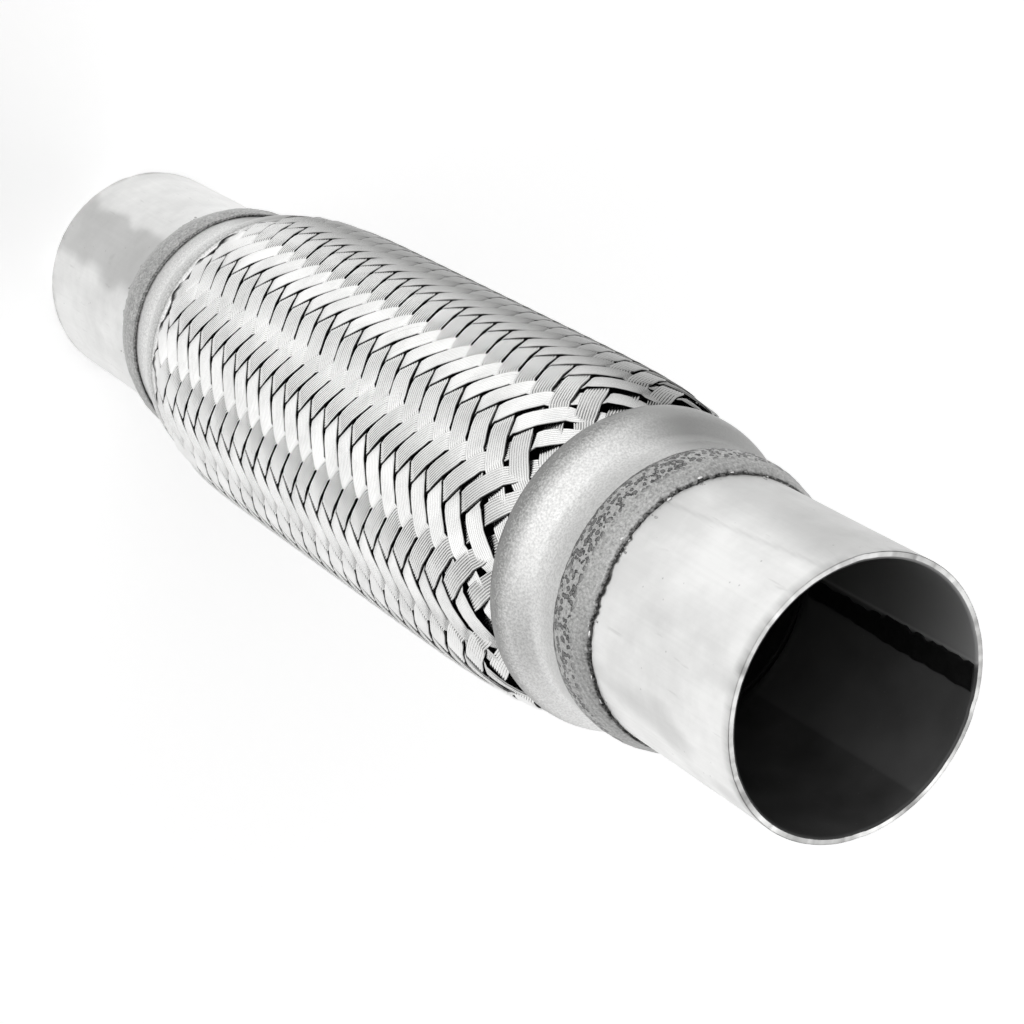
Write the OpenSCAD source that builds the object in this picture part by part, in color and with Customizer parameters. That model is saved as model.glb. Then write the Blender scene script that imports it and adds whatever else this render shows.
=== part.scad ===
// Exhaust flex pipe: a braided bellows section between two welded end tubes.
// It stands on the mouth of its lower tube, with its axis along Z.

/* [End tubes] */
// Bore of the end tubes
tube_bore = 51; // [44:0.5:60]
// Wall of the end tubes
tube_wall = 1.5; // [1:0.1:2.5]
// Bare length of the upper tube, from its mouth to the toe of its weld
upper_bare = 43.5; // [25:0.5:80]
// Bare length of the lower tube, from its mouth to the toe of its weld
lower_bare = 47; // [25:0.5:80]
// Length of tube hidden in the flexible section
tube_insert = 8; // [6.5:0.5:12]
// Bevel on both edges of a tube's mouth
mouth_bevel = 0.3; // [0.1:0.1:0.4]

/* [Welds] */
// Width of the upper weld bead along the pipe
upper_weld_w = 10; // [8:0.5:14]
// Width of the lower weld bead along the pipe
lower_weld_w = 12; // [8:0.5:14]
// Part of the bead's width that lies on the tube
weld_on_tube = 5; // [3:0.5:6]
// Height of the bead's crown over a straight line between its edges
weld_crown = 1.1; // [0.9:0.1:1.6]
// Thickness of the bead at its edges
weld_edge = 0.3; // [0.1:0.1:0.6]

/* [End caps] */
// Sheet that the caps are pressed from
cap_sheet = 1.2; // [0.8:0.1:1.6]
// Straight neck of the upper cap
upper_neck = 10; // [9:0.5:16]
// Straight neck of the lower cap
lower_neck = 13; // [9:0.5:16]
// How far the lip stands out past the neck
flare_rise = 3.8; // [2.5:0.1:6]
// Slope of the flare against the axis
flare_angle = 30; // [26:1:36]
// Radius of the hollow curve at the foot of the flare
flare_foot_r = 6; // [4:0.5:8]
// Radius of the round shoulder at the lip
flare_shoulder_r = 9; // [6:0.5:10]
// Angle by which the shoulder curls in again before the round edge of the lip
lip_curl = 14; // [6:1:20]

/* [Flexible section] */
// Length of the flexible section, from weld toe to weld toe
flex_len = 216; // [180:1:320]
// Radial clearance between pieces that slip into one another
slip = 0.1; // [0.05:0.05:0.2]

/* [Braid] */
// Strands that wind each way round the braid
strands = 24; // [16:2:28]
// Spacing of the strands along the pipe
strand_pick = 6.4; // [5.5:0.1:10]
// How far the braid stands out past the lips at mid-length
braid_swell = 2.9; // [1.5:0.1:5]
// Length over which the braid swells out of the upper cap
upper_swell = 8; // [3:0.5:12]
// Length over which the braid swells out of the lower cap
lower_swell = 4; // [3:0.5:12]
// Thickness of the braid over its ridges
braid_wall = 1.4; // [1.2:0.1:2]
// Depth of the valleys between the strands
strand_relief = 0.8; // [0.4:0.1:0.9]
// Half-width of the open gaps beside the caps, as a share of the strand spacing
gap_share = 0.18; // [0.08:0.01:0.19]

/* [Bellows] */
// Wall of the bellows
bellows_wall = 0.4; // [0.3:0.1:0.6]
// Spacing of the convolutions along the pipe
convolution_pitch = 7.2; // [5:0.1:10]
// Clearance between the convolutions and the braid
bellows_gap = 1.1; // [0.8:0.1:2]
// Distance from a cap's lip to the first convolution
bellows_margin = 14; // [12:0.5:30]

/* [Liner] */
// Thickness of the strip-wound liner over its folds
liner_depth = 1.3; // [1.1:0.1:1.4]
// Strip that the liner is folded from
liner_strip = 0.4; // [0.3:0.1:0.5]
// Width of one turn of the strip
liner_turn = 6.2; // [4:0.1:10]
// Radial clearance of the liner in the bellows
liner_slip = 0.2; // [0.1:0.05:0.3]

/* [Hidden] */
$fn = 96;

// Lengths along the pipe
overall_len = lower_bare + flex_len + upper_bare;
flare_slant = (flare_rise - (flare_foot_r + flare_shoulder_r) * (1 - cos(flare_angle))) / sin(flare_angle);
flare_run = (flare_foot_r + flare_shoulder_r) * sin(flare_angle) + flare_slant * cos(flare_angle);
lower_neck_z = lower_bare + weld_on_tube;
upper_neck_z = overall_len - upper_bare - weld_on_tube;
curl_run = (flare_shoulder_r - cap_sheet / 2) * sin(lip_curl) + cap_sheet / 2;
lower_lip_z = lower_neck_z + lower_neck + flare_run + curl_run;
upper_lip_z = upper_neck_z - upper_neck - flare_run - curl_run;
lower_tube_top = lower_bare + tube_insert;
upper_tube_foot = overall_len - upper_bare - tube_insert;

// Radii, from the bore outwards
bore_r = tube_bore / 2;
tube_r = bore_r + tube_wall;
cuff_in_r = tube_r + slip;
cuff_r = cuff_in_r + bellows_wall;
neck_in_r = cuff_r + slip;
neck_r = neck_in_r + cap_sheet;
lip_r = neck_r + flare_rise;
lip_in_r = lip_r - flare_shoulder_r + (flare_shoulder_r - cap_sheet / 2) * cos(lip_curl) - cap_sheet / 2;
braid_r = lip_r + braid_swell;
crest_r = braid_r - braid_wall - bellows_gap;
liner_r = cuff_in_r - liner_slip;

// Braid, counted in half-steps of the strand spacing: an odd number of rows
// from lip to lip, and twice the strands round the pipe
braid_len = upper_lip_z - lower_lip_z;
rows = 2 * round(braid_len / strand_pick) + 1;
steps = 2 * strands;
// Rows near the lips lie further apart by end_stretch, which fades over end_fade of the length
end_stretch = 0.4;
end_fade = 0.04;
// Radius of the strands where they leave a lip
braid_lip_r = lip_in_r - slip + strand_relief;
// Rows of gaps that are open right through, counted from each lip
open_rows = [2, 3];
// The inside of the braid follows its rows this far from each lip, and is plain between
inner_rows = 5;
// Flat top of a strand, as shares of its visible half-length and of its full width
top_length = 0.72;
top_width = 0.3;

// Steps in which curved profiles are drawn
arc_steps = 10;

function arc(from, to, n) = [for (i = [0:n]) from + (to - from) * i / n];

// One tube, with its mouth at Z = 0
module tube(len) {
  rotate_extrude()
    polygon([
      [bore_r, mouth_bevel], [bore_r + mouth_bevel, 0], [tube_r - mouth_bevel, 0],
      [tube_r, mouth_bevel], [tube_r, len], [bore_r, len]
    ]);
}

// Side of a cap's sheet that lies inset under its outer face, from the neck's edge at Z = 0 to the lip
function cap_side(neck, inset) = concat(
  [[neck_r - inset, 0]],
  [for (a = arc(0, flare_angle, arc_steps))
    [neck_r + flare_foot_r - (flare_foot_r + inset) * cos(a), neck + (flare_foot_r + inset) * sin(a)]],
  [for (a = arc(flare_angle, -lip_curl, arc_steps))
    [lip_r - flare_shoulder_r + (flare_shoulder_r - inset) * cos(a),
      neck + flare_run - (flare_shoulder_r - inset) * sin(a)]]
);

// One cap, with its neck's edge at Z = 0 and a round lip
module cap(neck) {
  lip_edge = cap_sheet / 2;
  edge_r = lip_in_r + lip_edge;
  edge_z = neck + flare_run + curl_run - lip_edge;
  lip = [for (a = arc(lip_curl, lip_curl + 180, arc_steps))
    [edge_r + lip_edge * cos(a), edge_z + lip_edge * sin(a)]];
  inside = cap_side(neck, cap_sheet);
  rotate_extrude()
    polygon(concat(cap_side(neck, 0), lip, [for (i = [len(inside) - 1:-1:0]) inside[i]]));
}

// One weld bead, with its toe on the tube at Z = 0: it fills the corner between tube and cap
module weld(w) {
  crown = [for (t = arc(1, 0, arc_steps))
    [tube_r + weld_edge + (neck_r - tube_r) * t + 4 * weld_crown * t * (1 - t), w * t]];
  rotate_extrude()
    polygon(concat(
      [[tube_r, 0], [tube_r, weld_on_tube], [neck_r, weld_on_tube], [neck_r, w]], crown
    ));
}

// Places a piece of the upper end, turned over so that its Z = 0 lies at height z
module upside_down(z) {
  translate([0, 0, z])
    mirror([0, 0, 1])
      children();
}

// Height of a row of the braid, and radius over the strands at a height
function stretch_sum(t) =
  t + end_stretch * end_fade * (1 - exp(-t / end_fade) + exp((t - 1) / end_fade) - exp(-1 / end_fade));
function row_z(q) = lower_lip_z + braid_len * stretch_sum(q / rows) / stretch_sum(1);
function crown_r(z) = braid_r - (braid_r - braid_lip_r)
  * (exp((lower_lip_z - z) / lower_swell) + exp((z - upper_lip_z) / upper_swell));

// Point p half-steps round and q rows up the braid, at a depth under the strands' tops
function braid_point(p, q, depth) =
  let (z = row_z(q), r = crown_r(z) - depth, a = 360 * p / steps)
  [r * cos(a), r * sin(a), z];

// A corner where strands meet is a gap if its row is an open one
function is_open(corner) = len(search(corner.y, open_rows)) + len(search(rows - corner.y, open_rows)) > 0;
function toward(corner, other) = corner + gap_share * (other - corner);

// Outline of a patch, with each open corner cut back along the patch's edges; a corner
// halfway along a tile's long side is cut back along the line across the tile as well.
// Each point comes with the number of the top corner that it slopes up to.
function cut_corner(loop, k, across) =
  let (n = len(loop), here = loop[k], last = loop[(k + n - 1) % n], next = loop[(k + 1) % n])
  !is_open(here) ? [here]
  : across ? [toward(here, last), toward(here, loop[(k + n / 2) % n]), toward(here, next)]
  : [toward(here, last), toward(here, next)];

// A tile is the length of one strand that shows between the two strands it dives under.
// It leans to the side of lean, 1 or -1, from the crossing at half-step p of row q.
function tile_loop(p, q, lean) = [
  [p - 1, q], [p, q - lean], [p + 1, q], [p + 2, q + lean], [p + 1, q + 2 * lean], [p, q + lean]
];
function tile_top(p, q, lean) = [
  for (k = [[-1, -1], [-1, 1], [1, 1], [1, -1]])
    let (along = k.x * top_length, side = k.y * top_width)
    braid_point(p + 0.5 + along + side, q + lean * (0.5 + along - side), 0)
];
function tile(p, q, lean) =
  let (
    loop = tile_loop(p, q, lean),
    top = tile_top(p, q, lean),
    // Top corner that each corner of the outline slopes up to, and the one after it
    first = [0, 1, 1, 2, 3, 3],
    second = [0, 1, 2, 2, 3, 0],
    rim = [for (k = [0:5])
      let (cut = cut_corner(loop, k, k % 3 == 2))
      for (i = [0:len(cut) - 1])
        [braid_point(cut[i].x, cut[i].y, strand_relief), i == 2 ? second[k] : first[k]]],
    n = len(rim)
  )
  concat(
    [[top[0], top[1], top[2]], [top[0], top[2], top[3]]],
    [for (i = [0:n - 1])
      let (here = rim[i], next = rim[(i + 1) % n])
      each concat(
        [[here[0], next[0], top[here[1]]]],
        here[1] == next[1] ? [] : [[next[0], top[next[1]], top[here[1]]]]
      )]
  );

// A single crossing, as a flat patch at some depth
function crossing(p, q, depth) =
  let (
    loop = [[p - 1, q], [p, q - 1], [p + 1, q], [p, q + 1]],
    rim = [for (k = [0:3]) for (c = cut_corner(loop, k, false)) braid_point(c.x, c.y, depth)]
  )
  [for (i = [1:len(rim) - 2]) [rim[0], rim[i], rim[i + 1]]];

// Triangles that level row q, where only every second corner is in it, towards the row at q + up
function level_row(q, up, depth) = [
  for (p = [0:steps - 1]) if ((p + q) % 2 == 0)
    [braid_point(p, q, depth), braid_point(p + 2, q, depth), braid_point(p + 1, q + up, depth)]
];

// Walls of one open gap
function gap_wall(p, q) =
  let (rim = [for (c = [[1, 1], [-1, 1], [-1, -1], [1, -1]]) [p, q] + gap_share * c])
  [for (i = [0:3])
    let (here = rim[i], next = rim[(i + 1) % 4])
    each band(
      [braid_point(here.x, here.y, strand_relief), braid_point(next.x, next.y, strand_relief)],
      [braid_point(here.x, here.y, braid_wall), braid_point(next.x, next.y, braid_wall)]
    )];

// Two triangles between the edges low and high
function band(low, high) = [[low[0], low[1], high[1]], [low[0], high[1], high[0]]];
function flip(triangles) = [for (t = triangles) [t[2], t[1], t[0]]];

// Tucked end of the braid under a cap: from row q along the cap's flare to its foot, and back inside
foot_r = neck_r + flare_foot_r - (flare_foot_r + cap_sheet) * cos(flare_angle) - slip;
foot_run = (flare_foot_r + cap_sheet) * sin(flare_angle);
tuck_wall = braid_wall - strand_relief;
function foot_point(p, z, r) = [r * cos(360 * p / steps), r * sin(360 * p / steps), z];
function tucked_end(q, z) = [
  for (p = [0:steps - 1]) if ((p + q) % 2 == 0)
    let (
      outer = [for (k = [p, p + 2]) braid_point(k, q, strand_relief)],
      outer_foot = [for (k = [p, p + 2]) foot_point(k, z, foot_r)],
      inner_foot = [for (k = [p, p + 2]) foot_point(k, z, foot_r - tuck_wall)],
      inner = [for (k = [p, p + 2]) braid_point(k, q, braid_wall)]
    )
    each concat(band(outer_foot, outer), band(inner_foot, outer_foot), band(inner, inner_foot))
];

// Plain inside of the braid between its two rows of inner_rows
function plain_inside() = [
  for (p = [0:steps - 1]) if ((p + inner_rows) % 2 == 0)
    let (
      low = [for (k = [p, p + 2]) braid_point(k, inner_rows, braid_wall)],
      high = [for (k = [p + 1, p + 3]) braid_point(k, rows - inner_rows, braid_wall)]
    )
    each band(low, high)
];

function braid_triangles() = concat(
  // Strands that lean one way, then the other, in turn round the pipe
  [for (q = [1:2:rows - 2], p = [2:4:steps - 1]) each tile(p, q, 1)],
  flip([for (q = [3:2:rows - 2], p = [0:4:steps - 1]) each tile(p, q, -1)]),
  // Half tiles at the ends of the second lot
  [for (p = [0:4:steps - 1]) each crossing(p, 1, strand_relief)],
  [for (p = [1:4:steps - 1]) each crossing(p, rows - 1, strand_relief)],
  level_row(0, 1, strand_relief),
  flip(level_row(rows, -1, strand_relief)),
  // Open gaps
  [for (k = open_rows, q = [k, rows - k], p = [0:steps - 1]) if ((p + q) % 2 == 0) each flip(gap_wall(p, q))],
  // Inside
  flip([for (k = [1:inner_rows - 1], q = [k, rows - k], p = [0:steps - 1]) if ((p + q) % 2 == 1)
    each crossing(p, q, braid_wall)]),
  flip(level_row(0, 1, braid_wall)),
  level_row(rows, -1, braid_wall),
  level_row(inner_rows, -1, braid_wall),
  flip(level_row(rows - inner_rows, 1, braid_wall)),
  flip(plain_inside()),
  tucked_end(0, lower_neck_z + lower_neck + foot_run),
  flip(tucked_end(rows, upper_neck_z - upper_neck - foot_run))
);

// Side of the bellows' sheet that lies offset from its middle, from the lower cuff to the upper one
bellows_low = lower_lip_z + bellows_margin;
bellows_high = upper_lip_z - bellows_margin;
convolutions = max(2, round((bellows_high - bellows_low) / convolution_pitch));
pitch = (bellows_high - bellows_low) / convolutions;
bend_r = pitch / 4;
bend_steps = 4;
function bellows_side(offset) =
  let (root = cuff_in_r + bellows_wall / 2, crest = crest_r - bellows_wall / 2)
  concat(
    [[root + offset, lower_neck_z], [root + offset, bellows_low]],
    [for (i = [0:convolutions - 1])
      let (z = bellows_low + pitch * (i + 0.5))
      each concat(
        [for (a = arc(90 / bend_steps, 90, bend_steps - 1))
          [root + bend_r - (bend_r - offset) * cos(a), z - pitch / 2 + (bend_r - offset) * sin(a)]],
        [for (a = arc(-90, 90, 2 * bend_steps))
          [crest - bend_r + (bend_r + offset) * cos(a), z + (bend_r + offset) * sin(a)]],
        [for (a = arc(90, 0, bend_steps))
          [root + bend_r - (bend_r - offset) * cos(a), z + pitch / 2 - (bend_r - offset) * sin(a)]]
      )],
    [[root + offset, upper_neck_z]]
  );

// Side of the folded strip that lies inset under the liner's outer face: each turn is a
// proud band and a sunk band of equal width, and a last proud band meets the upper tube
liner_len = upper_tube_foot - lower_tube_top;
turns = round(liner_len / liner_turn);
turn_w = liner_len / (turns + 0.5);
function liner_side(inset) =
  let (proud = liner_r - inset, sunk = liner_r - liner_depth + liner_strip - inset)
  concat(
    [[proud, lower_tube_top]],
    [for (i = [0:turns - 1])
      let (z = lower_tube_top + turn_w * i, fold = liner_strip / 2 - inset)
      each [
        [proud, z + turn_w / 2 + fold], [sunk, z + turn_w / 2 + fold],
        [sunk, z + turn_w - fold], [proud, z + turn_w - fold]
      ]],
    [[proud, upper_tube_foot + liner_strip]]
  );

module upper_tube() {
  color("gainsboro")
    upside_down(overall_len)
      tube(upper_bare + tube_insert);
}

module lower_tube() {
  color("gainsboro")
    tube(lower_bare + tube_insert);
}

module upper_cap() {
  color("silver")
    upside_down(upper_neck_z)
      cap(upper_neck);
}

module lower_cap() {
  color("silver")
    translate([0, 0, lower_neck_z])
      cap(lower_neck);
}

module upper_weld() {
  color("dimgray")
    upside_down(overall_len - upper_bare)
      weld(upper_weld_w);
}

module lower_weld() {
  color("dimgray")
    translate([0, 0, lower_bare])
      weld(lower_weld_w);
}

module outer_braid() {
  triangles = braid_triangles();
  color("lightgray")
    polyhedron(
      points = [for (t = triangles) each t],
      faces = [for (i = [0:len(triangles) - 1]) [3 * i + 2, 3 * i + 1, 3 * i]]
    );
}

module bellows() {
  inside = bellows_side(-bellows_wall / 2);
  color("darkgray")
    rotate_extrude()
      polygon(concat(bellows_side(bellows_wall / 2), [for (i = [len(inside) - 1:-1:0]) inside[i]]));
}

module interlock_liner() {
  inside = liner_side(liner_strip);
  color("gray")
    rotate_extrude()
      intersection() {
        polygon(concat(liner_side(0), [for (i = [len(inside) - 1:-1:0]) inside[i]]));
        translate([0, lower_tube_top])
          square([liner_r, liner_len]);
      }
}

upper_tube();
lower_tube();
upper_cap();
lower_cap();
upper_weld();
lower_weld();
outer_braid();
bellows();
interlock_liner();
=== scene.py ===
import math

import bpy
import numpy as np
from mathutils import Matrix, Vector


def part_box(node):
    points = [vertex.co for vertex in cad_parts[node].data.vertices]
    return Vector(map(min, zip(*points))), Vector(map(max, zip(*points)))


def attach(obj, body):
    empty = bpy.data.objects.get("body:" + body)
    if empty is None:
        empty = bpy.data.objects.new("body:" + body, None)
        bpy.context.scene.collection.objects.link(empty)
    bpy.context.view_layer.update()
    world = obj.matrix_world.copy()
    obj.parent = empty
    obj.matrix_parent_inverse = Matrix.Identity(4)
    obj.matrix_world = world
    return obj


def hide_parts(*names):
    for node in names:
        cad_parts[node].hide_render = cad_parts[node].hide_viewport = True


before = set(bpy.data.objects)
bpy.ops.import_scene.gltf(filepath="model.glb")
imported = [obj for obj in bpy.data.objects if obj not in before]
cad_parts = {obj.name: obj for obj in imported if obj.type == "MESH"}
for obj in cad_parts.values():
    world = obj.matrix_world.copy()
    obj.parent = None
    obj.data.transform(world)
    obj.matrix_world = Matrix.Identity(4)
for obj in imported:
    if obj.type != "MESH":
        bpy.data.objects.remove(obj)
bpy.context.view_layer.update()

# Lengths below are in millimetres, and meshes are scaled to metres when they are made
MM = 0.001
FULL_TURN = 2 * math.pi


def box_mm(node):
    low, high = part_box(node)
    return np.array(low) / MM, np.array(high) / MM


# Sizes read from the CAD pieces
UPPER_FOOT = box_mm("upper_tube")[0][2]
OVERALL = box_mm("upper_tube")[1][2]
TUBE_R = box_mm("upper_tube")[1][0]
LOWER_TOP = box_mm("lower_tube")[1][2]
UPPER_TOE = box_mm("upper_weld")[1][2]
LOWER_TOE = box_mm("lower_weld")[0][2]
UPPER_NECK_EDGE = box_mm("upper_cap")[1][2]
LOWER_NECK_EDGE = box_mm("lower_cap")[0][2]
UPPER_LIP = box_mm("upper_cap")[0][2]
LOWER_LIP = box_mm("lower_cap")[1][2]
LIP_R = box_mm("upper_cap")[1][0]
BRAID_R = box_mm("outer_braid")[1][0]
LINER_R = box_mm("interlock_liner")[1][0]

# Sizes that a box doesn't give, as in the CAD model
BORE_R = 25.5
NECK_R = 28.8
CAP_SHEET = 1.2
FLARE_ANGLE = math.radians(30)
FLARE_FOOT_R = 6.0
FLARE_SHOULDER_R = 9.0
LIP_CURL = math.radians(14)
WELD_EDGE = 0.3
WELD_CROWN = 1.1
WELD_ON_TUBE = 5.0
LINER_DEPTH = 1.3
LINER_STRIP = 0.4
LINER_TURNS = 32


# Camera, at the photograph's viewing angle

def make_camera():
    data = bpy.data.cameras.new("camera")
    data.lens = 99.4229
    data.sensor_width = 36
    data.clip_start = 0.01
    camera = bpy.data.objects.new("camera", data)
    right = Vector((-0.51459159, 0.69637341, 0.5002595))
    up = Vector((-0.8574139, -0.41378612, -0.30597786))
    forward = Vector((0.00607441, 0.58638308, -0.8100111))
    turned_to = Matrix((right, up, -forward)).transposed().to_4x4()
    camera.matrix_world = Matrix.Translation((0, -0.33926, 0.65981)) @ turned_to
    bpy.context.scene.collection.objects.link(camera)
    bpy.context.scene.camera = camera


# Tools for materials

def colour(code):
    """sRGB hex to the linear colour that Blender works in."""
    parts = [int(code[i:i + 2], 16) / 255 for i in (1, 3, 5)]
    return [p / 12.92 if p <= 0.04045 else ((p + 0.055) / 1.055) ** 2.4 for p in parts] + [1.0]


def add(tree, kind, sockets=None, **settings):
    """Adds a node with its settings; a socket that is given an output is linked, another takes the value."""
    node = tree.nodes.new("ShaderNode" + kind)
    for name, value in settings.items():
        setattr(node, name, value)
    for name, value in (sockets or {}).items():
        if isinstance(value, bpy.types.NodeSocket):
            tree.links.new(value, node.inputs[name])
        else:
            node.inputs[name].default_value = value
    return node


def start_material(name):
    """An empty material with its tree and the place of a point on the pipe in metres."""
    made = bpy.data.materials.new(name)
    made.use_nodes = True
    tree = made.node_tree
    tree.nodes.clear()
    place = add(tree, "TexCoord").outputs["Object"]
    return made, tree, place


def finish_material(tree, **sockets):
    """Puts the shader at the end of the tree, with its sockets filled."""
    named = {name.replace("_", " ").title(): value for name, value in sockets.items()}
    shader = add(tree, "BsdfPrincipled", named)
    add(tree, "OutputMaterial", {"Surface": shader.outputs[0]})


def per_mm(size):
    """Texture scale at which a pattern's features are about size mm across."""
    return 1 / (size * MM)


# Materials

def make_aluminised_steel():
    """Aluminised steel tube: cold-rolled sheet dipped in molten aluminium, then rolled and seam-welded.
    The dip leaves a pale satin skin with soft clouds, and the rollers leave fine lengthwise lines, faint
    scuffs and a few dark specks. Greyer bands are painted on as shade, with some tarnish, scratches and a
    bare cut edge."""
    made, tree, place = start_material("aluminised_steel")
    clouds = add(tree, "TexNoise", {"Vector": place, "Scale": per_mm(16), "Detail": 5.0, "Roughness": 0.6})
    cloudy = add(tree, "ValToRGB", {"Fac": clouds.outputs["Fac"]})
    cloudy.color_ramp.elements[0].position = 0.36
    cloudy.color_ramp.elements[0].color = colour("#EAEAE9")
    cloudy.color_ramp.elements[1].position = 0.62
    cloudy.color_ramp.elements[1].color = colour("#FBFBFA")
    long_way = add(tree, "Mapping", {"Vector": place, "Scale": (per_mm(0.9), per_mm(0.9), per_mm(40))})
    lines = add(tree, "TexNoise", {"Vector": long_way.outputs[0], "Scale": 1.0, "Detail": 3.0})
    scuffs_way = add(tree, "Mapping", {"Vector": place, "Rotation": (0.3, 0.5, 0.2),
                                       "Scale": (per_mm(7), per_mm(0.5), per_mm(9))})
    scuffs = add(tree, "TexNoise", {"Vector": scuffs_way.outputs[0], "Scale": 1.0, "Detail": 2.0})
    scuffed = add(tree, "MapRange", {"Value": scuffs.outputs["Fac"], "From Min": 0.69, "From Max": 0.77,
                                     "To Min": 0.0, "To Max": 0.25})
    lined = add(tree, "MapRange", {"Value": lines.outputs["Fac"], "From Min": 0.3, "From Max": 0.7,
                                   "To Min": 0.0, "To Max": 0.1})
    streaked = add(tree, "Mix", {0: lined.outputs[0], 6: cloudy.outputs[0], 7: colour("#C4C4C3")},
                   data_type="RGBA")
    scratched = add(tree, "Mix", {0: scuffed.outputs[0], 6: streaked.outputs[2], 7: colour("#B2B2B1")},
                    data_type="RGBA")
    specks = add(tree, "TexVoronoi", {"Vector": place, "Scale": per_mm(3.4), "Randomness": 1.0})
    speckled = add(tree, "MapRange", {"Value": specks.outputs["Distance"], "From Min": 0.03,
                                      "From Max": 0.075, "To Min": 0.4, "To Max": 0.0})
    spotted = add(tree, "Mix", {0: speckled.outputs[0], 6: scratched.outputs[2], 7: colour("#6A6A69")},
                  data_type="RGBA")
    # This mark greys the skin with painted shade as well as with tarnish, scratches and the bare cut edge
    tarnish_and_shade = add(tree, "Attribute", attribute_name="tarnish_and_shade").outputs["Fac"]
    grey_share = add(tree, "Math", {0: tarnish_and_shade, 1: 0.52}, operation="MULTIPLY")
    greying = add(tree, "Mix", {0: grey_share.outputs[0], 6: spotted.outputs[2], 7: colour("#8F8F8E")},
                 data_type="RGBA")
    worn = add(tree, "TexNoise", {"Vector": place, "Scale": per_mm(9), "Detail": 6.0, "Roughness": 0.7})
    rough = add(tree, "MapRange", {"Value": worn.outputs["Fac"], "From Min": 0.3, "From Max": 0.7,
                                   "To Min": 0.30, "To Max": 0.46})
    relief = add(tree, "Math", {0: lines.outputs["Fac"], 1: worn.outputs["Fac"]}, operation="ADD")
    bump = add(tree, "Bump", {"Height": relief.outputs[0], "Strength": 0.12, "Distance": 0.08 * MM})
    finish_material(tree, base_color=greying.outputs[2], metallic=1.0, roughness=rough.outputs[0],
                    normal=bump.outputs[0])
    return made


def make_shaded_bore():
    """Inside of the tube: steel painted dark as the shade in the bore, with a dull sheen and pale dust
    specks.
    Light reaching in is painted as a paler film past the seam, and a hairline along the seam is scraped pale."""
    made, tree, place = start_material("bore_painted_shade")
    film = add(tree, "TexNoise", {"Vector": place, "Scale": per_mm(11), "Detail": 5.0})
    # The dark tones are painted shade
    toned = add(tree, "ValToRGB", {"Fac": film.outputs["Fac"]})
    toned.color_ramp.elements[0].position = 0.35
    toned.color_ramp.elements[0].color = colour("#3C3C3C")
    toned.color_ramp.elements[1].position = 0.68
    toned.color_ramp.elements[1].color = colour("#4C4C4C")
    dust = add(tree, "TexVoronoi", {"Vector": place, "Scale": per_mm(2.6), "Randomness": 1.0})
    dusty = add(tree, "MapRange", {"Value": dust.outputs["Distance"], "From Min": 0.03, "From Max": 0.07,
                                   "To Min": 0.5, "To Max": 0.0})
    specked = add(tree, "Mix", {0: dusty.outputs[0], 6: toned.outputs[0], 7: colour("#6B6B6B")},
                  data_type="RGBA")
    # Paler past the seam as painted light, and along a scraped hairline
    painted_light_and_bare = add(tree, "Attribute", attribute_name="painted_light_and_bare").outputs["Fac"]
    lightened = add(tree, "Mix", {0: painted_light_and_bare, 6: specked.outputs[2], 7: colour("#A0A0A0")}, data_type="RGBA")
    rough = add(tree, "MapRange", {"Value": film.outputs["Fac"], "From Min": 0.3, "From Max": 0.7,
                                   "To Min": 0.48, "To Max": 0.66})
    bump = add(tree, "Bump", {"Height": film.outputs["Fac"], "Strength": 0.1, "Distance": 0.1 * MM})
    finish_material(tree, base_color=lightened.outputs[2], metallic=0.2, roughness=rough.outputs[0],
                    normal=bump.outputs[0])
    return made


def make_seam_black():
    """A ragged black strip along the tube's lengthwise seam, painted as the seam's shadow.
    Matt black, with a glassy edge here and there."""
    made, tree, place = start_material("seam_painted_shadow")
    crust = add(tree, "TexNoise", {"Vector": place, "Scale": per_mm(1.4), "Detail": 4.0})
    # Black, painted as the seam's shadow
    toned = add(tree, "ValToRGB", {"Fac": crust.outputs["Fac"]})
    toned.color_ramp.elements[0].position = 0.4
    toned.color_ramp.elements[0].color = colour("#060606")
    toned.color_ramp.elements[1].position = 0.75
    toned.color_ramp.elements[1].color = colour("#141414")
    bump = add(tree, "Bump", {"Height": crust.outputs["Fac"], "Strength": 0.4, "Distance": 0.15 * MM})
    finish_material(tree, base_color=toned.outputs[0], metallic=0.0, roughness=0.55, normal=bump.outputs[0])
    return made


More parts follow.
